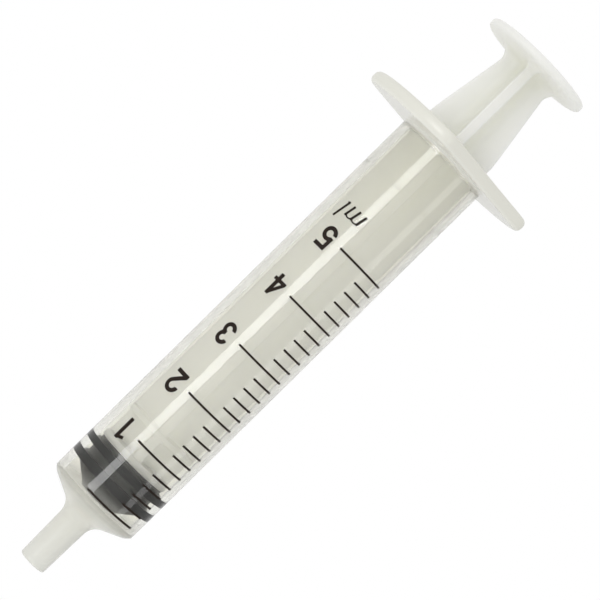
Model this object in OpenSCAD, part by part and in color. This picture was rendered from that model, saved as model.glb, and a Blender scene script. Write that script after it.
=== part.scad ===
// Oral syringe: a moulded barrel with a slip tip, finger flange and printed scale,
// and a cross-ribbed plunger rod that carries a ribbed rubber stopper.
// The axis is +X, from the mouth of the tip to the thumb rest. The flange's flats face up and down.
// The plunger is drawn pushed fully in.

/* [Capacity and scale] */
// Largest volume on the scale, in ml
capacity_ml = 5; // [2:1:9]
// Small divisions in each millilitre
divisions_per_ml = 5; // [2:1:10]
// Distance from the shoulder's corner to the zero line
zero_setback = 1.25; // [0.5:0.05:4]
// Barrel length between the last line and the flange
headroom = 18.45; // [15:0.5:40]
// Width of a printed line along the barrel
line_width = 0.3; // [0.15:0.01:0.5]
// Thickness of the printed ink
ink_thickness = 0.04; // [0.03:0.01:0.1]
// Angle round the barrel, from the top, where every line starts, at the middle of the scale
line_start_angle = -15; // [-40:1:0]
// Angle that a whole-millilitre line spans
major_line_angle = 72; // [50:1:80]
// Angle that a small division's line spans
minor_line_angle = 34; // [20:0.5:45]
// Angle round the barrel, from the top, of the numerals' centre
numeral_angle = 76.5; // [74:0.5:130]
// Distance from a line to the middle of its numeral, toward the tip
numeral_lead = 0.22; // [0:0.02:1]
// Turn of the print round the barrel for each millimetre toward the flange, in degrees
print_drift = -0.15; // [-0.2:0.01:0.2]
// Height of the numerals, along the barrel
numeral_height = 3.4; // [2:0.05:5]
// Width of the numerals, round the barrel
numeral_width = 2.15; // [1.2:0.05:3]
// Width of a numeral's stroke
numeral_stroke = 0.58; // [0.25:0.01:0.7]
// Distance from the last line to the middle of the unit mark
unit_mark_setback = 4.35; // [3:0.05:8]
// Height of the small letter in the unit mark
unit_mark_height = 1.75; // [1:0.05:3]

/* [Barrel] */
// Diameter of the bore
bore_d = 11.84; // [9:0.02:20]
// Thickness of the barrel's wall
barrel_wall = 1.13; // [0.8:0.01:2]
// Angle between the shoulder's cone and the axis
shoulder_angle = 64; // [40:0.1:70]
// Radius of the hollow fillet between the tip and the shoulder
shoulder_fillet = 2.4; // [1:0.1:4]
// Radius of the rounding between the shoulder's cone and its corner
shoulder_rounding = 2.5; // [0.3:0.1:4]
// Angle to the axis at which the rounding meets the barrel's side
corner_angle = 35; // [0:1:40]
// Diameter of the finger flange
flange_d = 28.8; // [26:0.1:44]
// Width of the flange between its two flats
flange_width = 18.4; // [17:0.1:30]
// Thickness of the flange
flange_thickness = 1.95; // [1.2:0.05:3]
// Rounding of the flange's rim
flange_rounding = 0.55; // [0.2:0.05:0.55]
// Chamfer of the bore's mouth
mouth_chamfer = 0.3; // [0.1:0.05:0.5]
// Distance from the barrel's open end to the retaining ring in the bore
ring_setback = 9.35; // [5:0.05:14]
// Height of the retaining ring above the bore
ring_height = 0.18; // [0.1:0.01:0.25]
// Width of the retaining ring along the bore
ring_width = 0.6; // [0.4:0.05:1]

/* [Tip] */
// Length of the tip, up to the shoulder's fillet
tip_length = 7.46; // [5:0.05:14]
// Outside diameter of the tip at its mouth
tip_mouth_d = 4.1; // [3.4:0.05:6]
// Outside diameter of the tip at the shoulder
tip_root_d = 4.4; // [3.6:0.05:6.5]
// Diameter of the passage through the tip
tip_bore_d = 2.7; // [1:0.05:3]
// Chamfer of the tip's outer edge
tip_chamfer = 0.2; // [0.05:0.05:0.3]

/* [Stopper] */
// Length of the stopper
stopper_length = 6.7; // [5:0.1:12]
// Distance from the stopper's nose forward of the zero line
nose_lead = 0.72; // [0:0.01:1]
// Diameter of the flat on the nose
nose_d = 6.0; // [4:0.1:8]
// Share of the stopper's length that is the nose cone
nose_share = 0.329; // [0.2:0.001:0.36]
// Share of the stopper's length that is the front sealing rib
front_rib_share = 0.212; // [0.1:0.002:0.25]
// Share of the stopper's length that is the groove between the ribs
groove_share = 0.172; // [0.1:0.002:0.2]
// Share of the stopper's length that is the rear sealing rib
rear_rib_share = 0.187; // [0.1:0.001:0.2]
// Depth of the groove, nose shoulder and tail below the ribs
groove_depth = 0.5; // [0.3:0.05:0.8]
// Gap round a sealing rib in the bore
seal_clearance = 0.02; // [0.01:0.01:0.05]
// Gap between the plunger's snap head and the stopper's socket
socket_clearance = 0.08; // [0.03:0.01:0.1]

/* [Plunger rod] */
// Diameter of the snap head
head_d = 5.2; // [4:0.1:5.6]
// Share of the stopper's length that the snap head fills
head_share = 0.343; // [0.25:0.001:0.36]
// Share of the stopper's length that is the lip behind the snap head
lip_share = 0.224; // [0.15:0.001:0.26]
// Diameter of the neck behind the head
neck_d = 3.2; // [2.2:0.1:3.4]
// Gap round the discs and the ribs in the bore
rod_clearance = 0.3; // [0.27:0.01:0.5]
// Thickness of the disc that pushes the stopper
push_disc_thickness = 1.0; // [0.8:0.05:2]
// Thickness of the steadying disc
steady_disc_thickness = 0.8; // [0.6:0.05:1.5]
// Distance between the two discs' front faces
disc_spacing = 4.95; // [3:0.05:10]
// Thickness of a rib
rib_thickness = 1.5; // [1:0.05:2.4]
// Turn of the ribs round the axis, from the flats
plunger_turn = 46; // [0:1:89]
// Length of the rod that shows between the flange and the thumb rest
exposed_length = 14.75; // [10:0.05:30]
// Distance from the flange to where the ribs start to narrow
taper_setback = 1.75; // [0.5:0.05:4]
// Width across the ribs at their narrowest
waist_width = 7.8; // [6:0.1:9]
// Radius of the fillet between the ribs and the thumb rest
thumb_fillet = 2.2; // [1:0.1:2.5]
// Diameter of the thumb rest
thumb_d = 16.7; // [14:0.1:26]
// Thickness of the thumb rest at its rim
thumb_thickness = 1.2; // [0.8:0.05:2.5]
// Rounding of the thumb rest's rim
thumb_rounding = 0.35; // [0.2:0.05:0.5]

/* [Hidden] */
$fn = 96;

// How far a cut runs past the face that it opens
CUT = 0.5;
// Chamfer on the stopper's ribs, on the ring and at the socket's mouth
EDGE = 0.12;
// Fillet under the finger flange
FLANGE_FILLET = 0.25;
// Share of the snap head's length that is its pointed front
HEAD_POINT = 0.55;
// Radius of the snap head's blunt front
HEAD_TIP_R = 1.4;
// Slope of the unit mark's letters, sideways for each unit of height
SLANT = 0.22;
// Width of a stroke in the unit mark
UNIT_STROKE = 0.34;

bore_r = bore_d / 2;
barrel_r = bore_r + barrel_wall;
tip_mouth_r = tip_mouth_d / 2;
tip_root_r = tip_root_d / 2;
tip_bore_r = tip_bore_d / 2;

// The shoulder is a hollow fillet, then a cone, then a rounding out to the barrel's corner.
cone_start_x = tip_length + shoulder_fillet * sin(shoulder_angle);
cone_start_r = tip_root_r + shoulder_fillet * (1 - cos(shoulder_angle));
cone_end_r = barrel_r - shoulder_rounding * (cos(corner_angle) - cos(shoulder_angle));
cone_end_x = cone_start_x + (cone_end_r - cone_start_r) / tan(shoulder_angle);
shoulder_x = cone_end_x + shoulder_rounding * (sin(shoulder_angle) - sin(corner_angle));

// Inside, the cone keeps the wall's thickness.
inner_corner_x = cone_end_x + (barrel_r - cone_end_r) / tan(shoulder_angle)
    + barrel_wall * tan(shoulder_angle / 2);
inner_cone_x = inner_corner_x - (bore_r - tip_bore_r) / tan(shoulder_angle);

// Each millilitre on the scale takes the length of bore that holds it.
ml_length = 1000 / (PI * bore_r * bore_r);
zero_x = shoulder_x + zero_setback;
last_line_x = zero_x + capacity_ml * ml_length;
scale_middle_x = (zero_x + last_line_x) / 2;
flange_x = last_line_x + headroom;
mouth_x = flange_x + flange_thickness;
ring_x = mouth_x - ring_setback;
ring_inner_r = bore_r - ring_height;

// The stopper, from its nose to its tail
nose_length = nose_share * stopper_length;
front_rib_width = front_rib_share * stopper_length;
groove_width = groove_share * stopper_length;
rear_rib_width = rear_rib_share * stopper_length;
nose_x = zero_x - nose_lead;
rib_r = bore_r - seal_clearance;
stopper_r = bore_r - groove_depth;
front_rib_x = nose_x + nose_length + EDGE;
rear_rib_x = front_rib_x + front_rib_width + groove_width;
stopper_end_x = nose_x + stopper_length;

// The plunger rod, from its head to its thumb rest
head_length = head_share * stopper_length;
lip_thickness = lip_share * stopper_length;
head_r = head_d / 2;
neck_r = neck_d / 2;
head_end_x = stopper_end_x - lip_thickness;
head_x = head_end_x - head_length;
push_x = stopper_end_x + socket_clearance;
steady_x = push_x + disc_spacing;
disc_r = bore_r - rod_clearance;
taper_x = mouth_x + taper_setback;
thumb_x = mouth_x + exposed_length;
waist_x = thumb_x - thumb_fillet;
waist_r = waist_width / 2;
thumb_r = thumb_d / 2;

// Numerals are drawn in a box of this width and height, with this radius to a bowl's centre line.
num_w = numeral_width;
num_h = numeral_height;
num_s = numeral_stroke;
bowl_r = (num_h - num_s) / 4;
big_bowl_r = (num_w - num_s) / 2;

// ---- Shared shapes ----

// Points of an arc about (x, r). Angle 0 points along the axis and 90 points outward.
function arc(x, r, radius, from, to, steps = 12) =
    [for (i = [0:steps])
        let (a = from + (to - from) * i / steps)
        [r + radius * sin(a), x + radius * cos(a)]];

// Turns a profile, drawn as (radius, distance along the axis), about the X axis.
module turned() {
    rotate([0, 90, 0])
        rotate_extrude()
            children();
}

// A disc on the axis with a rounded rim
module round_rim_disc(x, radius, thickness, rounding) {
    turned()
        polygon(concat(
            [[0, x]],
            arc(x + rounding, radius - rounding, rounding, 180, 90, 8),
            arc(x + thickness - rounding, radius - rounding, rounding, 90, 0, 8),
            [[0, x + thickness]]));
}

// ---- Barrel ----

module barrel_outside() {
    turned()
        polygon(concat(
            [[0, 0], [tip_mouth_r - tip_chamfer, 0], [tip_mouth_r, tip_chamfer]],
            arc(tip_length, tip_root_r + shoulder_fillet, shoulder_fillet, 270, 270 + shoulder_angle),
            arc(shoulder_x + shoulder_rounding * sin(corner_angle),
                barrel_r - shoulder_rounding * cos(corner_angle),
                shoulder_rounding, 90 + shoulder_angle, 90 + corner_angle),
            arc(flange_x - FLANGE_FILLET, barrel_r + FLANGE_FILLET, FLANGE_FILLET, 270, 360, 6),
            [[0, flange_x]]));
}

module flange() {
    intersection() {
        round_rim_disc(flange_x, flange_d / 2, flange_thickness, flange_rounding);
        translate([flange_x - CUT, -flange_d, -flange_width / 2])
            cube([flange_thickness + 2 * CUT, 2 * flange_d, flange_width]);
    }
}

module bore_and_passage() {
    ring_foot = ring_width / 2;
    ring_crest = ring_foot - EDGE;
    turned()
        polygon([
            [0, -CUT],
            [tip_bore_r, -CUT],
            [tip_bore_r, inner_cone_x],
            [bore_r, inner_corner_x],
            [bore_r, ring_x - ring_foot],
            [ring_inner_r, ring_x - ring_crest],
            [ring_inner_r, ring_x + ring_crest],
            [bore_r, ring_x + ring_foot],
            [bore_r, mouth_x - mouth_chamfer],
            [bore_r + mouth_chamfer + CUT, mouth_x + CUT],
            [0, mouth_x + CUT]
        ]);
}

module barrel() {
    color([0.86, 0.87, 0.84, 0.5])
        difference() {
            union() {
                barrel_outside();
                flange();
            }
            bore_and_passage();
        }
}

// ---- Stopper ----

// Profile points of one sealing rib that starts at x
function sealing_rib(x, width) = [
    [stopper_r, x],
    [rib_r - EDGE, x],
    [rib_r, x + EDGE],
    [rib_r, x + width - EDGE],
    [rib_r - EDGE, x + width],
    [stopper_r, x + width]
];

// Profile of the snap head and its neck, grown by gap on every side
module head_profile(gap) {
    polygon([
        [0, head_x - gap],
        [HEAD_TIP_R + gap, head_x - gap],
        [head_r + gap, head_x + HEAD_POINT * head_length],
        [head_r + gap, head_end_x + gap],
        [neck_r + gap, head_end_x + gap],
        [neck_r + gap, push_x + EDGE],
        [0, push_x + EDGE]
    ]);
}

module stopper() {
    color([0.16, 0.16, 0.16])
        turned()
            difference() {
                polygon(concat(
                    [[0, nose_x], [nose_d / 2, nose_x], [stopper_r, nose_x + nose_length]],
                    sealing_rib(front_rib_x, front_rib_width),
                    sealing_rib(rear_rib_x, rear_rib_width),
                    [[stopper_r, stopper_end_x], [0, stopper_end_x]]));
                head_profile(socket_clearance);
            }
}

// ---- Plunger rod ----

// Half of a rib's outline on one side of the axis
function rib_side() = concat(
    [[push_x + EDGE, 0], [push_x + EDGE, disc_r], [taper_x, disc_r]],
    [for (p = arc(waist_x, waist_r + thumb_fillet, thumb_fillet, 270, 360)) [p[1], p[0]]],
    [[thumb_x + EDGE, waist_r + thumb_fillet], [thumb_x + EDGE, 0]]);

// One flat blade, which makes two opposite ribs
module blade() {
    translate([0, 0, -rib_thickness / 2])
        linear_extrude(rib_thickness)
            for (side = [0, 1])
                mirror([0, side])
                    polygon(rib_side());
}

module rod_discs() {
    turned() {
        translate([0, push_x])
            square([disc_r, push_disc_thickness]);
        translate([0, steady_x])
            square([disc_r, steady_disc_thickness]);
    }
}

module plunger_rod() {
    color([0.9, 0.91, 0.88])
        rotate([-plunger_turn, 0, 0]) {
            turned()
                head_profile(0);
            rod_discs();
            blade();
            rotate([90, 0, 0])
                blade();
            round_rim_disc(thumb_x, thumb_r, thumb_thickness, thumb_rounding);
        }
}

// ---- Printed scale ----

// How far the print has turned round the barrel at x
function drift(x) = print_drift * (x - scale_middle_x);

// A line round part of the barrel, at x
module scale_line(x, span) {
    rotate([0, 90, 0])
        rotate([0, 0, 180 - line_start_angle - drift(x) - span])
            rotate_extrude(angle = span)
                translate([barrel_r, x - line_width / 2])
                    square([ink_thickness, line_width]);
}

module scale_major_lines() {
    color([0.1, 0.08, 0.07])
        for (ml = [0:capacity_ml])
            scale_line(zero_x + ml * ml_length, major_line_angle);
}

module scale_minor_lines() {
    color([0.1, 0.08, 0.07])
        for (ml = [0:capacity_ml - 1])
            for (i = [1:divisions_per_ml - 1])
                scale_line(zero_x + (ml + i / divisions_per_ml) * ml_length, minor_line_angle);
}

// Lays a flat mark, drawn about its own centre with its top toward the tip, on the barrel's surface.
module printed(x, length) {
    intersection() {
        turned()
            translate([barrel_r, x - length])
                square([ink_thickness, 2 * length]);
        rotate([-numeral_angle - drift(x), 0, 0])
            translate([x, 0, 0])
                rotate([0, 0, 90])
                    linear_extrude(barrel_r + 1)
                        children();
    }
}

// A straight stroke between two points
module stroke(p, q, width) {
    run = q - p;
    translate(p)
        rotate(atan2(run[1], run[0]))
            translate([0, -width / 2])
                square([norm(run), width]);
}

// A round stroke about a centre, between two angles
module bowl(centre, radius, width, from, to) {
    reach = 2 * (radius + width);
    steps = ceil((to - from) / 30);
    translate(centre)
        intersection() {
            difference() {
                circle(radius + width / 2);
                circle(radius - width / 2);
            }
            polygon(concat(
                [[0, 0]],
                [for (i = [0:steps])
                    let (a = from + (to - from) * i / steps)
                    reach * [cos(a), sin(a)]]));
        }
}

module numeral_1() {
    stem_x = num_w * 0.13;
    stroke([stem_x, -num_h / 2], [stem_x, num_h / 2], num_s);
    stroke([stem_x, num_h / 2 - num_s / 2], [stem_x - num_w * 0.46, num_h / 2 - num_s * 1.15], num_s * 0.8);
}

module numeral_2() {
    top_y = num_h / 2 - num_w / 2;
    foot_y = num_s / 2 - num_h / 2;
    join = [big_bowl_r * cos(-35), top_y + big_bowl_r * sin(-35)];
    bowl([0, top_y], big_bowl_r, num_s, -35, 185);
    stroke(join, [num_s * 0.45 - num_w / 2, foot_y + num_s * 0.2], num_s);
    stroke([-num_w / 2, foot_y], [num_w / 2, foot_y], num_s);
}

module numeral_3() {
    bowl([0, bowl_r], bowl_r, num_s, -90, 175);
    bowl([0, -bowl_r], bowl_r, num_s, -175, 90);
}

module numeral_4() {
    stem_x = num_w * 0.16;
    bar_y = -num_h * 0.2;
    stroke([stem_x, -num_h / 2], [stem_x, num_h / 2], num_s);
    stroke([-num_w / 2, bar_y], [num_w / 2, bar_y], num_s * 0.9);
    stroke([num_s * 0.3 - num_w / 2, bar_y], [stem_x, num_h / 2 - num_s * 0.3], num_s * 0.8);
}

module numeral_5() {
    bowl_y = big_bowl_r + num_s / 2 - num_h / 2;
    side_x = num_s * 0.6 - num_w / 2;
    top_y = num_h / 2 - num_s / 2;
    bowl([0, bowl_y], big_bowl_r, num_s, -175, 140);
    stroke([side_x, bowl_y + num_s * 0.5], [side_x + num_s * 0.15, num_h / 2], num_s * 0.9);
    stroke([side_x, top_y], [num_w * 0.44, top_y], num_s);
}

// Numerals past 5 keep the same strokes for scales of a larger capacity.
module numeral_6() {
    rotate(180)
        numeral_9();
}

module numeral_7() {
    top_y = num_h / 2 - num_s / 2;
    stroke([-num_w / 2, top_y], [num_w / 2, top_y], num_s);
    stroke([num_w / 2 - num_s / 2, top_y], [-num_w * 0.12, -num_h / 2], num_s);
}

module numeral_8() {
    bowl([0, bowl_r], bowl_r, num_s, 0, 360);
    bowl([0, -bowl_r], bowl_r, num_s, 0, 360);
}

module numeral_9() {
    bowl_y = num_h / 2 - big_bowl_r - num_s / 2;
    bowl([0, bowl_y], big_bowl_r, num_s, 0, 360);
    stroke([big_bowl_r, bowl_y], [-num_w * 0.1, -num_h / 2], num_s);
}

module numeral(value) {
    if (value == 1) numeral_1();
    if (value == 2) numeral_2();
    if (value == 3) numeral_3();
    if (value == 4) numeral_4();
    if (value == 5) numeral_5();
    if (value == 6) numeral_6();
    if (value == 7) numeral_7();
    if (value == 8) numeral_8();
    if (value == 9) numeral_9();
}

module scale_numerals() {
    color([0.13, 0.09, 0.06])
        for (ml = [1:capacity_ml])
            printed(zero_x + ml * ml_length - numeral_lead, num_h)
                numeral(ml);
}

// The letters m and l, leaning to the right
module unit_letters() {
    x_height = unit_mark_height;
    pitch = x_height * 0.62;
    arch_r = pitch / 2;
    base_y = -x_height / 2;
    left = -pitch * 1.8;
    lean = SLANT * x_height;
    for (i = [0:2])
        stroke([left + i * pitch, base_y], [left + i * pitch + lean, base_y + x_height], UNIT_STROKE);
    for (i = [0:1])
        bowl([left + (i + 0.5) * pitch + lean * 0.8, base_y + x_height - arch_r],
            arch_r, UNIT_STROKE * 0.6, 10, 150);
    l_x = left + 3 * pitch;
    stroke([l_x, base_y], [l_x + 1.6 * lean, base_y + 1.6 * x_height], UNIT_STROKE);
    stroke([l_x, base_y + UNIT_STROKE / 4], [l_x + UNIT_STROKE, base_y + UNIT_STROKE / 2], UNIT_STROKE / 2);
}

module scale_unit_mark() {
    color([0.13, 0.09, 0.06])
        printed(last_line_x + unit_mark_setback, 2 * unit_mark_height)
            unit_letters();
}

barrel();
plunger_rod();
stopper();
scale_major_lines();
scale_minor_lines();
scale_numerals();
scale_unit_mark();
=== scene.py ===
"""Oral syringe: a clear barrel, a milky plunger rod, a black rubber stopper and a printed scale.

Every size is in millimetres until a mesh is made. The axis is +X, from the tip's mouth to the thumb rest.
"""

from math import atan2, cos, pi, radians, sin, sqrt, tan

import bmesh
import bpy
from mathutils import Matrix, Vector


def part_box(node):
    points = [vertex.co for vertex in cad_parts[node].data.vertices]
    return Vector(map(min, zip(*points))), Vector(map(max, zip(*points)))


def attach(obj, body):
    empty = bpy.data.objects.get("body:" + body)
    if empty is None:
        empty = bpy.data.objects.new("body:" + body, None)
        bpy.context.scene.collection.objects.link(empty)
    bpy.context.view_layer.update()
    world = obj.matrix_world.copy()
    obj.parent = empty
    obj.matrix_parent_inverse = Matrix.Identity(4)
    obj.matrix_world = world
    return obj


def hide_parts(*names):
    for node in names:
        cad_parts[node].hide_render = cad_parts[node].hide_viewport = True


MM = 0.001

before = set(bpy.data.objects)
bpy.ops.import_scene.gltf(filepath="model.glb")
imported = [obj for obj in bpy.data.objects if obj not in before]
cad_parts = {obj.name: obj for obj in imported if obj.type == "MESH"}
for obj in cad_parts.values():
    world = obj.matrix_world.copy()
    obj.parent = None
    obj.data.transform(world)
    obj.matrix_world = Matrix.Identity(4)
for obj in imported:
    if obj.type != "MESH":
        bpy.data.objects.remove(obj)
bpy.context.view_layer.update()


# ---- Sizes: the ends read from the frame, the rest given ----

def node_box(node):
    """A node's lowest and highest corners, in millimetres."""
    low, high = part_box(node)
    return Vector(low) / MM, Vector(high) / MM


_, BARREL_HIGH = node_box("barrel")
ROD_LOW, ROD_HIGH = node_box("plunger_rod")
STOPPER_LOW, STOPPER_HIGH = node_box("stopper")

# Barrel
MOUTH_X = BARREL_HIGH.x
FLANGE_R = 14.4
FLANGE_HALF_WIDTH = BARREL_HIGH.z
FLANGE_THICKNESS = 1.95
FLANGE_X = MOUTH_X - FLANGE_THICKNESS
BORE_R = 5.92
BARREL_R = 7.05
WALL = BARREL_R - BORE_R
MOUTH_ROUNDING = 0.3
TIP_LENGTH = 7.46
TIP_MOUTH_R = 2.05
TIP_ROOT_R = 2.2
TIP_BORE_R = 1.35
PASSAGE_X = 0.12  # the passage is straight from here inward
SHOULDER_ANGLE = 64
SHOULDER_FILLET = 2.4
SHOULDER_ROUNDING = 2.5
CORNER_ANGLE = 35
RING_X = MOUTH_X - 9.35
RING_HEIGHT = 0.06
RING_WIDTH = 1.0
WITNESS_HALF = 0.4
WITNESS_DEPTH = 0.035

# Stopper
NOSE_X = STOPPER_LOW.x
STOPPER_END_X = STOPPER_HIGH.x
STOPPER_R = 5.42
RIB_R = BORE_R + 0.02
NOSE_R = 3.0
NOSE_HOLE_R = 0.6
NOSE_LENGTH = 2.2
FRONT_RIB_WIDTH = 1.42
GROOVE_WIDTH = 1.15
REAR_RIB_WIDTH = 1.25
SOCKET_GAP = 0.08

# Plunger rod
THUMB_TOP_X = ROD_HIGH.x
THUMB_THICKNESS = 1.2
THUMB_X = THUMB_TOP_X - THUMB_THICKNESS
THUMB_R = 8.35
THUMB_FILLET = 2.2
PUSH_X = STOPPER_END_X + SOCKET_GAP
PUSH_THICKNESS = 1.0
STEADY_X = PUSH_X + 4.95
STEADY_THICKNESS = 0.8
DISC_R = 5.62
RIB_HALF = 0.75
TAPER_X = MOUTH_X + 1.75
WAIST_X = THUMB_X - THUMB_FILLET
WAIST_R = 3.9
HEAD_X = ROD_LOW.x
HEAD_LENGTH = 2.3
HEAD_POINT = 1.2
HEAD_END_X = HEAD_X + HEAD_LENGTH
HEAD_TIP_R = 1.4
HEAD_R = 2.6
NECK_R = 1.6
ROD_TURN = radians(46)

SEGMENTS = 256


# ---- Meshes ----

def arc(x, r, radius, start, end, steps=8):
    """Profile points (x, r) of an arc. Angle 0 points along the axis and 90 points outward."""
    angles = [radians(start + (end - start) * i / steps) for i in range(steps + 1)]
    return [(x + radius * cos(a), r + radius * sin(a)) for a in angles]


def even(start, end, steps):
    """Points from start to end, both left out."""
    return [
        tuple(a + (b - a) * i / steps for a, b in zip(start, end))
        for i in range(1, steps)
    ]


def loft(name, rings, loop=False):
    """A skin over rings of equally many points in millimetres.

    A loop joins its last ring to its first, and an open skin gets a cap at each end.
    """
    count = len(rings[0])
    points = [Vector(p) * MM for ring in rings for p in ring]
    faces = []
    pairs = [(i, i + 1) for i in range(len(rings) - 1)]
    if loop:
        pairs.append((len(rings) - 1, 0))
    for a, b in pairs:
        for j in range(count):
            k = (j + 1) % count
            faces.append((a * count + j, a * count + k, b * count + k, b * count + j))
    if not loop:
        for first, backward in ((0, True), ((len(rings) - 1) * count, False)):
            centre = len(points)
            ring = points[first:first + count]
            points.append(sum(ring, Vector()) / count)
            for j in range(count):
                edge = (first + j, first + (j + 1) % count)
                faces.append((*(reversed(edge) if backward else edge), centre))
    mesh = bpy.data.meshes.new(name)
    mesh.from_pydata(points, [], faces)
    skin = bmesh.new()
    skin.from_mesh(mesh)
    bmesh.ops.recalc_face_normals(skin, faces=skin.faces)
    skin.to_mesh(mesh)
    skin.free()
    piece = bpy.data.objects.new(name, mesh)
    bpy.context.collection.objects.link(piece)
    return piece


def finish_piece(piece, body, material, slot, *nodes, sharp=40):
    """Gives a piece its smooth shading, its body and its material, and hides the CAD nodes it stands for.
    """
    mesh = piece.data
    mesh.shade_smooth()
    mesh.set_sharp_from_angle(angle=radians(sharp))
    mesh.materials.append(material)
    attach(piece, body)
    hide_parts(*nodes)


def turned_rings(profile, count=SEGMENTS):
    """Rings round the axis for a profile of (x, r) points."""
    angles = [2 * pi * j / count for j in range(count)]
    return [[(x, r * sin(a), r * cos(a)) for a in angles] for x, r in profile]


# ---- Barrel ----

def flange_outline(angle):
    """Distance from the axis to the flange's rim at an angle from +Z.

    The outline is a circle cut by two flats, with rounded corners.
    """
    softness = 36
    flat = FLANGE_HALF_WIDTH / max(abs(cos(angle)), 1e-6)
    return (FLANGE_R ** -softness + flat ** -softness) ** (-1 / softness)


def shoulder():
    """Profile of the outside from the tip's root to the barrel's corner, and where the bare cone ends."""
    slope = radians(SHOULDER_ANGLE)
    corner = radians(CORNER_ANGLE)
    hollow = arc(
        TIP_LENGTH, TIP_ROOT_R + SHOULDER_FILLET, SHOULDER_FILLET, 270, 270 + SHOULDER_ANGLE, 16)
    x, r = hollow[-1]
    reach_x = x + (BARREL_R - r) / tan(slope)
    end_r = BARREL_R - SHOULDER_ROUNDING * (cos(corner) - cos(slope))
    end_x = x + (end_r - r) / tan(slope)
    rounding = arc(
        end_x + SHOULDER_ROUNDING * sin(slope), BARREL_R - SHOULDER_ROUNDING * cos(corner),
        SHOULDER_ROUNDING, 90 + SHOULDER_ANGLE, 90 + CORNER_ANGLE, 8)
    return hollow + even(hollow[-1], rounding[0], 4) + rounding, reach_x


def barrel_profile():
    """The barrel's outside and then its inside.

    Each point is (x, radius, share of the way to the flange's rim, inset from the rim).
    """
    outer_shoulder, reach_x = shoulder()
    lip = 0.25
    fillet = 0.3
    edge = 0.08
    outside = [(PASSAGE_X, TIP_BORE_R)]
    outside += arc(lip, TIP_MOUTH_R - lip, lip, 180, 90, 5)
    outside += even(outside[-1], outer_shoulder[0], 8) + outer_shoulder[:-1]
    corner_x = outer_shoulder[-1][0]
    outside += [(corner_x - edge, BARREL_R - edge * 0.75), (corner_x + edge * 0.3, BARREL_R - edge * 0.15)]
    outside += even((corner_x + edge, BARREL_R), (RING_X - WITNESS_HALF, BARREL_R), 40)
    outside += witness_groove()
    outside += even((RING_X + WITNESS_HALF, BARREL_R), (FLANGE_X - fillet, BARREL_R), 8)
    outside += arc(FLANGE_X - fillet, BARREL_R + fillet, fillet, 270, 360, 6)
    profile = [(x, r, 0, 0) for x, r in outside]
    profile += flange_profile(BARREL_R + fillet)
    profile += [(x, r, 0, 0) for x, r in inside_profile(reach_x)]
    return profile


def witness_groove():
    """The faint groove that the moulded ring leaves on the outside."""
    steps = 16
    points = []
    for i in range(steps + 1):
        t = -1 + 2 * i / steps
        points.append((RING_X + WITNESS_HALF * t, BARREL_R - WITNESS_DEPTH * cos(pi / 2 * t) ** 2))
    return points


def flange_profile(root):
    """The flange's grip face, rim and open face."""
    rim = 0.8
    steps = 6
    grip = [(FLANGE_X, root, i / steps, rim) for i in range(1, steps)]
    low = [(x, 0, 1, -r) for x, r in arc(FLANGE_X + rim, -rim, rim, 180, 90, 7)]
    high = [(x, 0, 1, -r) for x, r in arc(MOUTH_X - rim, -rim, rim, 90, 0, 7)]
    open_face = [(MOUTH_X, BORE_R + MOUTH_ROUNDING, 1 - i / steps, rim) for i in range(1, steps)]
    return grip + low + high + open_face


def inside_profile(reach_x):
    """The bore, from its mouth to the tip's mouth."""
    slope = tan(radians(SHOULDER_ANGLE))
    corner = reach_x + WALL * tan(radians(SHOULDER_ANGLE / 2))
    cone_x = corner - (BORE_R - TIP_BORE_R) / slope
    mouth = arc(MOUTH_X - MOUTH_ROUNDING, BORE_R + MOUTH_ROUNDING, MOUTH_ROUNDING, 360, 270, 5)
    ring = [
        (RING_X - RING_WIDTH / 2 * t, BORE_R - RING_HEIGHT * cos(pi / 2 * t) ** 2)
        for t in (i / 8 - 1 for i in range(17))
    ]
    bore = even(mouth[-1], ring[0], 8) + ring + even(ring[-1], (corner + 0.3, BORE_R), 40)
    blend = [(corner + 0.3, BORE_R), (corner + 0.08, BORE_R - 0.03), (corner - 0.1, BORE_R - 0.28)]
    cone = even(blend[-1], (cone_x, TIP_BORE_R), 8)
    throat = [(cone_x + 0.12, TIP_BORE_R + 0.2), (cone_x, TIP_BORE_R + 0.05), (cone_x - 0.2, TIP_BORE_R)]
    passage = even(throat[-1], (PASSAGE_X, TIP_BORE_R), 16)
    return mouth + bore + blend + cone[:-1] + throat + passage


def barrel_rings():
    """Rings of the barrel: round everywhere but in the flange, where they spread to its outline."""
    angles = [2 * pi * j / SEGMENTS for j in range(SEGMENTS)]
    rings = []
    for x, r, share, inset in barrel_profile():
        ring = []
        for a in angles:
            reach = r + share * (flange_outline(a) - inset - r)
            ring.append((x, reach * sin(a), reach * cos(a)))
        rings.append(ring)
    return rings


# ---- Stopper ----

def sealing_rib(x, width):
    """Profile of one sealing rib with rounded corners."""
    round_off = 0.16
    return [
        (x, STOPPER_R),
        *arc(x + round_off, RIB_R - round_off, round_off, 180, 90, 5),
        *arc(x + width - round_off, RIB_R - round_off, round_off, 90, 0, 5),
        (x + width, STOPPER_R),
    ]


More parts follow.
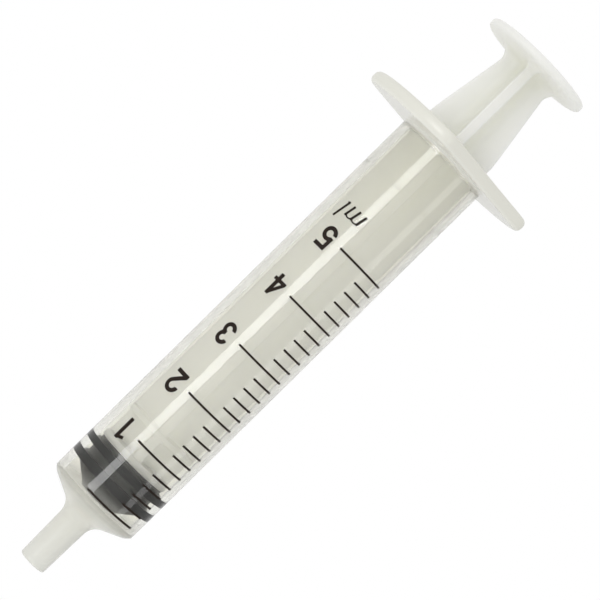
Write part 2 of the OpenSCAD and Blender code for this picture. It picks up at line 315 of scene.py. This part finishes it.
def stopper_profile():
    """The outside from nose to tail, then the socket.

    The skin is a loop, which leaves a narrow hole through the nose on the axis. The CAD has none.
    """
    front = arc(NOSE_X + 0.2, NOSE_R - 0.2, 0.2, 180, 110, 4)
    shoulder_point = (NOSE_X + NOSE_LENGTH, STOPPER_R)
    rib1_x = NOSE_X + NOSE_LENGTH + 0.12
    rib2_x = rib1_x + FRONT_RIB_WIDTH + GROOVE_WIDTH
    tail = arc(STOPPER_END_X - 0.15, STOPPER_R - 0.15, 0.15, 90, 0, 4)
    outside = [(NOSE_X, NOSE_HOLE_R), *front, *even(front[-1], shoulder_point, 6), shoulder_point]
    outside += sealing_rib(rib1_x, FRONT_RIB_WIDTH) + sealing_rib(rib2_x, REAR_RIB_WIDTH) + tail
    socket = [
        (STOPPER_END_X, NECK_R + SOCKET_GAP + 0.15),
        (STOPPER_END_X - 0.15, NECK_R + SOCKET_GAP),
        (HEAD_END_X + SOCKET_GAP, NECK_R + SOCKET_GAP),
        (HEAD_END_X + SOCKET_GAP, HEAD_R + SOCKET_GAP),
        (HEAD_X + HEAD_POINT, HEAD_R + SOCKET_GAP),
        (HEAD_X - SOCKET_GAP, HEAD_TIP_R + SOCKET_GAP),
        (HEAD_X - SOCKET_GAP, NOSE_HOLE_R),
    ]
    return outside, socket


# ---- Plunger rod ----

def cross_section(reach, half):
    """A cross of four ribs with a hollow fillet between them: points (y, z) in order round the axis."""
    edge = min(0.28, half * 0.4)
    hollow = 1.8
    eighth = [(reach, half * t) for t in (0, 0.35)]
    eighth += [
        (reach - edge + edge * cos(radians(a)), half - edge + edge * sin(radians(a)))
        for a in (0, 22.5, 45, 67.5, 90)
    ]
    start = half + hollow
    steps = 9
    for i in range(1, steps + 1):
        t = (i / (steps + 0.5)) ** 0.8
        eighth.append((reach - edge + (start - reach + edge) * t, half))
    eighth += [
        (start - hollow * sin(radians(a)), start - hollow * cos(radians(a)))
        for a in (0, 11, 22, 33)
    ]
    corner = start - hollow * sin(radians(45))
    eighth.append((corner, corner))
    mirrored = [(z, y) for y, z in reversed(eighth[:-1])]
    quarter = (eighth + mirrored)[:-1]
    points = []
    for turn in range(4):
        a = turn * pi / 2
        points += [(y * cos(a) - z * sin(a), y * sin(a) + z * cos(a)) for y, z in quarter]
    return points


def circle(x, r, angles):
    """A round ring at x, with its points at the given angles."""
    return [(x, r * cos(a), r * sin(a)) for a in angles]


def cross(x, reach, half):
    """A cross-shaped ring at x, with ribs that reach out from the axis and are twice half thick."""
    return [(x, y, z) for y, z in cross_section(reach, half)]


def disc(x, thickness, angles, edge=0.12):
    """A disc round the rod, with rounded edges."""
    low = arc(x + edge, DISC_R - edge, edge, 180, 90, 4)
    high = arc(x + thickness - edge, DISC_R - edge, edge, 90, 0, 4)
    return [circle(*p, angles) for p in low + high]


def cross_run(start, end, reach, steps=6, flare=0.3):
    """A straight stretch of the ribs, with a small fillet where it leaves a disc."""
    rings = [
        cross(start, reach, RIB_HALF + flare),
        cross(start + flare * 0.3, reach, RIB_HALF + flare * 0.3),
    ]
    for i in range(steps + 1):
        x = start + flare + (end - start - 2 * flare) * i / steps
        rings.append(cross(x, reach, RIB_HALF))
    return rings


def head_rings(angles):
    """The snap head and its neck, which sit in the stopper's socket."""
    edge = 0.08
    fillet = 0.1
    profile = [
        (HEAD_X, 0.5), (HEAD_X, 1.3), (HEAD_X + 0.05, 1.42),
        (HEAD_X + HEAD_POINT, HEAD_R - 0.03), (HEAD_X + 1.32, HEAD_R),
        (HEAD_END_X - edge, HEAD_R), (HEAD_END_X, HEAD_R - edge),
        (HEAD_END_X, NECK_R + fillet), (HEAD_END_X + fillet, NECK_R), (PUSH_X, NECK_R),
    ]
    return [circle(x, r, angles) for x, r in profile]


def taper_rings(steps=12):
    """The ribs outside the barrel, which narrow to the waist."""
    rings = []
    for i in range(1, steps + 1):
        t = i / steps
        x = TAPER_X + (WAIST_X - TAPER_X) * t
        rings.append(cross(x, DISC_R + (WAIST_R - DISC_R) * t, RIB_HALF))
    return rings


def thumb_fillet_rings(steps=12):
    """The ribs growing into the thumb rest, with one fillet at their edges and another on their sides."""
    side_fillet = 1.1
    rings = []
    for i in range(1, steps + 1):
        a = pi / 2 * i / steps
        x = WAIST_X + THUMB_FILLET * sin(a)
        reach = WAIST_R + THUMB_FILLET * (1 - cos(a))
        near = max(0, x - (THUMB_X - side_fillet)) / side_fillet
        half = RIB_HALF + side_fillet * (1 - sqrt(max(0, 1 - near * near)))
        rings.append(cross(x, reach, half))
    return rings


def thumb_rest_rings(angles):
    """The thumb rest from its underside over its rim to its top."""
    rim = 0.35
    underside_r = 6.6
    profile = [(THUMB_X, underside_r), (THUMB_X, THUMB_R - rim - 0.15)]
    profile += arc(THUMB_X + 0.07 + rim, THUMB_R - rim, rim, 165, 90, 6)
    profile += arc(THUMB_TOP_X - rim, THUMB_R - rim, rim, 90, 0, 6)
    profile += [(THUMB_TOP_X, THUMB_R * t) for t in (0.8, 0.6, 0.4, 0.2)]
    return [circle(x, r, angles) for x, r in profile]


def rod_rings():
    """Rings of the whole rod, head to thumb rest, as one skin.

    The circles take their angles from a cross, so that no face between the two kinds is twisted.
    """
    disc_angles = [atan2(z, y) for y, z in cross_section(DISC_R, RIB_HALF)]
    rings = head_rings(disc_angles)
    rings += disc(PUSH_X, PUSH_THICKNESS, disc_angles)
    rings += cross_run(PUSH_X + PUSH_THICKNESS, STEADY_X, DISC_R - 0.3)
    rings += disc(STEADY_X, STEADY_THICKNESS, disc_angles)
    rings += cross_run(STEADY_X + STEADY_THICKNESS, TAPER_X, DISC_R, steps=30)
    rings += taper_rings() + thumb_fillet_rings()
    thumb_angles = [atan2(z, y) for _, y, z in rings[-1]]
    rings += thumb_rest_rings(thumb_angles)
    turn = pi / 2 - ROD_TURN
    return [
        [(x, y * cos(turn) - z * sin(turn), y * sin(turn) + z * cos(turn)) for x, y, z in ring]
        for ring in rings
    ]


# ---- Materials ----

# The Mix node's colour sockets go by number, because sockets of other kinds have the same names.
MIX_A, MIX_B, MIX_RESULT = 6, 7, 2

# How brightly the floor lights the syringe. The camera sees it at 1.
FLOOR_LIGHT = 0.85


class Nodes:
    """Short calls for building a material's nodes."""

    def __init__(self, name):
        self.material = bpy.data.materials.new(name)
        self.material.use_nodes = True
        self.tree = self.material.node_tree
        self.shader = self.tree.nodes["Principled BSDF"]
        self.output = self.tree.nodes["Material Output"]

    def add(self, kind, **settings):
        node = self.tree.nodes.new(kind)
        for key, value in settings.items():
            setattr(node, key, value)
        return node

    def link(self, source, target):
        self.tree.links.new(source, target)

    def set(self, **values):
        for name, value in values.items():
            self.shader.inputs[name.replace("_", " ")].default_value = value

    def place(self):
        """The surface point in the part's own frame."""
        if not hasattr(self, "coordinates"):
            self.coordinates = self.add("ShaderNodeTexCoord")
        return self.coordinates.outputs["Object"]

    def noise(self, scale, detail=3.0, stretch=(1, 1, 1)):
        mapping = self.add("ShaderNodeMapping")
        mapping.inputs["Scale"].default_value = stretch
        self.link(self.place(), mapping.inputs["Vector"])
        noise = self.add("ShaderNodeTexNoise")
        noise.inputs["Scale"].default_value = scale
        noise.inputs["Detail"].default_value = detail
        self.link(mapping.outputs["Vector"], noise.inputs["Vector"])
        return noise.outputs["Fac"]

    def spread(self, value, low, high, start=0.3, end=0.7):
        """Maps a value between start and end to low and high."""
        node = self.add("ShaderNodeMapRange")
        range_ends = (("From Min", start), ("From Max", end), ("To Min", low), ("To Max", high))
        for name, number in range_ends:
            node.inputs[name].default_value = number
        self.link(value, node.inputs["Value"])
        return node.outputs["Result"]

    def along(self, stops):
        """A colour or grey that changes along the syringe: stops of (millimetres from the tip, colour)."""
        split = self.add("ShaderNodeSeparateXYZ")
        self.link(self.place(), split.inputs["Vector"])
        x = self.spread(split.outputs["X"], 0, 1, 0, THUMB_TOP_X * MM)
        ramp = self.add("ShaderNodeValToRGB")
        steps = ramp.color_ramp.elements
        while len(steps) < len(stops):
            steps.new(0.5)
        for step, (distance, colour) in zip(steps, stops):
            step.position = distance / THUMB_TOP_X
            step.color = (*colour, 1) if isinstance(colour, tuple) else (colour,) * 3 + (1,)
        self.link(x, ramp.inputs["Fac"])
        return ramp.outputs["Color"]

    def mix(self, factor, a, b):
        """A colour between a and b."""
        node = self.add("ShaderNodeMix", data_type="RGBA")
        self.link(factor, node.inputs["Factor"])
        node.inputs[MIX_A].default_value = (*a, 1)
        node.inputs[MIX_B].default_value = (*b, 1)
        return node.outputs[MIX_RESULT]

    def multiply(self, a, b):
        """The product of two colours."""
        node = self.add("ShaderNodeMix", data_type="RGBA", blend_type="MULTIPLY")
        node.inputs["Factor"].default_value = 1
        self.link(a, node.inputs[MIX_A])
        self.link(b, node.inputs[MIX_B])
        return node.outputs[MIX_RESULT]

    def bump(self, height, strength, distance):
        node = self.add("ShaderNodeBump")
        node.inputs["Strength"].default_value = strength
        node.inputs["Distance"].default_value = distance
        self.link(height, node.inputs["Height"])
        self.link(node.outputs["Normal"], self.shader.inputs["Normal"])


def clear_polypropylene():
    """The barrel: clear where the stopper rests, a little hazy along the wall, milky in tip and flange."""
    n = Nodes("clear_polypropylene")
    n.set(IOR=1.35)
    haze = [
        (0, 0.75), (9.5, 0.7), (11, 0.5), (12, 0.3), (13.2, 0.1),
        (14.4, 0.006), (18.4, 0.006),
        (22, 0.08), (30, 0.12), (76.1, 0.14), (76.75, 1),
    ]
    colour_along_axis = [
        (0, (0.9, 0.9, 0.845)), (10, (0.94, 0.935, 0.86)), (13, (0.995, 0.99, 0.935)),
        (76.5, (0.97, 0.965, 0.9)), (77.3, (0.8, 0.795, 0.72)),
    ]
    frost = [(0, 0.2), (11, 0.2), (12, 0), (76.5, 0), (77, 0.3)]
    n.link(n.along([(x, 1 - h) for x, h in haze]), n.shader.inputs["Transmission Weight"])
    n.link(n.along(colour_along_axis), n.shader.inputs["Base Color"])
    rough = n.add("ShaderNodeMath", operation="ADD")
    n.link(n.along(frost), rough.inputs[0])
    n.link(n.spread(n.noise(160), 0.01, 0.035), rough.inputs[1])
    n.link(rough.outputs["Value"], n.shader.inputs["Roughness"])
    n.bump(n.noise(120, 2, (0.2, 1, 1)), 0.01, 0.0001)
    volume = n.add("ShaderNodeVolumeAbsorption")
    volume.inputs["Color"].default_value = (0.5, 0.5, 0.38, 1)
    volume.inputs["Density"].default_value = 10
    n.link(volume.outputs["Volume"], n.output.inputs["Volume"])
    return n.material


def milky_polypropylene():
    """The plunger rod: natural polypropylene that lets some light through.

    It is lighter where it rests inside the barrel, to make up for the light that the wall takes.
    """
    n = Nodes("milky_polypropylene")
    n.set(IOR=1.49, Subsurface_Weight=1, Subsurface_Scale=0.008)
    n.shader.inputs["Subsurface Radius"].default_value = (1, 1, 0.9)
    # Painted light: the rod's colour is painted lighter where it rests inside the barrel, to make up for
    # the light the wall takes. Outside the barrel it is darker, and darker still toward the thumb rest.
    painted_light_inside = (0.985, 0.983, 0.93)
    colour_along_axis = n.along([(0, painted_light_inside), (60, painted_light_inside), (79, (0.81, 0.81, 0.745)), (92.5, (0.74, 0.74, 0.68))])
    cloud = n.mix(n.noise(140, 4), (0.98, 0.98, 0.975), (1, 1, 1))
    n.link(n.multiply(colour_along_axis, cloud), n.shader.inputs["Base Color"])
    n.link(n.spread(n.noise(420, 4), 0.52, 0.66), n.shader.inputs["Roughness"])
    n.bump(n.noise(700, 3, (0.3, 1, 1)), 0.15, 0.0001)
    return n.material


def black_rubber():
    """The stopper: dull and nearly black."""
    n = Nodes("black_rubber")
    n.set(IOR=1.5)
    colour = n.mix(n.noise(900, 4), (0.004, 0.004, 0.004), (0.012, 0.012, 0.011))
    n.link(colour, n.shader.inputs["Base Color"])
    n.link(n.spread(n.noise(1500, 3), 0.38, 0.6), n.shader.inputs["Roughness"])
    n.bump(n.noise(2600, 3), 0.25, 0.00005)
    return n.material


def printing_ink():
    """The printed scale: dark brown-black ink with hardly any shine."""
    n = Nodes("printing_ink")
    n.set(Specular_IOR_Level=0.12)
    colour = n.mix(n.noise(2200, 4), (0.006, 0.004, 0.003), (0.03, 0.018, 0.012))
    n.link(colour, n.shader.inputs["Base Color"])
    n.link(n.spread(n.noise(3000, 2), 0.35, 0.55), n.shader.inputs["Roughness"])
    n.bump(n.noise(4200, 2), 0.2, 0.00002)
    return n.material


def white_floor():
    """A glowing table that the camera sees as pure white, and that lights the syringe a little less."""
    n = Nodes("white_floor")
    glow = n.add("ShaderNodeEmission")
    seen = n.add("ShaderNodeLightPath")
    n.link(n.spread(seen.outputs["Is Camera Ray"], FLOOR_LIGHT, 1.0, 0, 1), glow.inputs["Strength"])
    n.link(glow.outputs["Emission"], n.output.inputs["Surface"])
    return n.material


# ---- Room, light and camera ----

# The camera looks square at the barrel, from 46 degrees off the top toward +Y.
CAMERA_TILT = radians(46)
AXIS_SLOPE = radians(44.56)
CAMERA_DISTANCE = 332.5
CAMERA_LENS = 150
AIM_X = 49.86
AIM_ACROSS = -0.19

# The room, in metres
FLOOR_HALF = 4
FLOOR_DROP = 0.25
STRIP_DISTANCE = 0.6
STRIP_LENGTH = 0.24
KEY_ANGLE = CAMERA_TILT + radians(23.5)
KEY_WIDTH = 0.205
KEY_RADIANCE = 10
FILL_ANGLE = CAMERA_TILT - radians(62)
FILL_WIDTH = 0.17
FILL_RADIANCE = 3.4

# The sky's strength toward -Y and toward +Y
SKY_DIM = 0.61
SKY_BRIGHT = 1.15


def direction(angle):
    """A unit vector square to the axis, at an angle from +Z toward +Y."""
    return Vector((0, sin(angle), cos(angle)))


def make_camera():
    """The photograph's view, with the axis rising to the right."""
    toward = direction(CAMERA_TILT)
    across = direction(CAMERA_TILT + pi / 2)
    along = Vector((1, 0, 0))
    right = along * cos(AXIS_SLOPE) - across * sin(AXIS_SLOPE)
    up = along * sin(AXIS_SLOPE) + across * cos(AXIS_SLOPE)
    data = bpy.data.cameras.new("camera")
    data.lens = CAMERA_LENS
    data.sensor_width = 36
    data.clip_start, data.clip_end = 0.01, 20
    camera = bpy.data.objects.new("camera", data)
    bpy.context.collection.objects.link(camera)
    place = (along * AIM_X + across * AIM_ACROSS + toward * CAMERA_DISTANCE) * MM
    camera.matrix_world = Matrix((right, up, toward)).transposed().to_4x4()
    camera.location = place
    bpy.context.scene.camera = camera


def make_strip(name, angle, width, radiance):
    """A long soft box in line with the syringe, seen only in reflections."""
    data = bpy.data.lights.new(name, "AREA")
    data.shape = "RECTANGLE"
    data.size, data.size_y = STRIP_LENGTH, width
    data.energy = radiance * pi * STRIP_LENGTH * width
    light = bpy.data.objects.new(name, data)
    bpy.context.collection.objects.link(light)
    toward = direction(angle)
    along = Vector((1, 0, 0))
    light.matrix_world = Matrix((along, toward.cross(along), toward)).transposed().to_4x4()
    light.location = toward * STRIP_DISTANCE + along * AIM_X * MM
    light.visible_diffuse = False
    light.visible_transmission = False


def make_sky():
    """An even white surround, dimmer toward -Y."""
    world = bpy.data.worlds.new("studio")
    world.use_nodes = True
    tree = world.node_tree
    background = tree.nodes["Background"]
    background.inputs["Color"].default_value = (1, 1, 1, 1)
    toward = tree.nodes.new("ShaderNodeTexCoord")
    split = tree.nodes.new("ShaderNodeSeparateXYZ")
    strength = tree.nodes.new("ShaderNodeMapRange")
    range_ends = (("From Min", -1), ("From Max", 1), ("To Min", SKY_DIM), ("To Max", SKY_BRIGHT))
    for name, number in range_ends:
        strength.inputs[name].default_value = number
    tree.links.new(toward.outputs["Generated"], split.inputs["Vector"])
    tree.links.new(split.outputs["Y"], strength.inputs["Value"])
    tree.links.new(strength.outputs["Result"], background.inputs["Strength"])
    bpy.context.scene.world = world
    bpy.context.scene.view_settings.view_transform = "Standard"


def make_floor():
    """A wide table under the syringe, which the table of pieces leaves out."""
    mesh = bpy.data.meshes.new("floor")
    corners = [
        (x * FLOOR_HALF, y * FLOOR_HALF, -FLOOR_DROP)
        for x, y in ((-1, -1), (1, -1), (1, 1), (-1, 1))
    ]
    mesh.from_pydata(corners, [], [(0, 1, 2, 3)])
    mesh.materials.append(white_floor())
    floor = bpy.data.objects.new("floor", mesh)
    bpy.context.collection.objects.link(floor)


# ---- The syringe ----

def make_barrel():
    piece = loft("barrel_shell", barrel_rings(), loop=True)
    finish_piece(piece, "barrel", clear_polypropylene(), "barrel_plastic", "barrel")


def make_stopper():
    outside, socket = stopper_profile()
    piece = loft("rubber_stopper", turned_rings(outside + socket), loop=True)
    finish_piece(piece, "stopper", black_rubber(), "stopper_rubber", "stopper")


def make_rod():
    piece = loft("plunger", rod_rings())
    finish_piece(piece, "plunger", milky_polypropylene(), "plunger_plastic", "plunger_rod")


def ink_the_scale():
    ink = printing_ink()
    for node in ("scale_major_lines", "scale_minor_lines", "scale_numerals", "scale_unit_mark"):
        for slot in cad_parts[node].material_slots:
            slot.material = ink


make_sky()
make_floor()
make_strip("key_strip", KEY_ANGLE, KEY_WIDTH, KEY_RADIANCE)
make_strip("fill_strip", FILL_ANGLE, FILL_WIDTH, FILL_RADIANCE)
make_camera()
make_barrel()
make_stopper()
make_rod()
ink_the_scale()
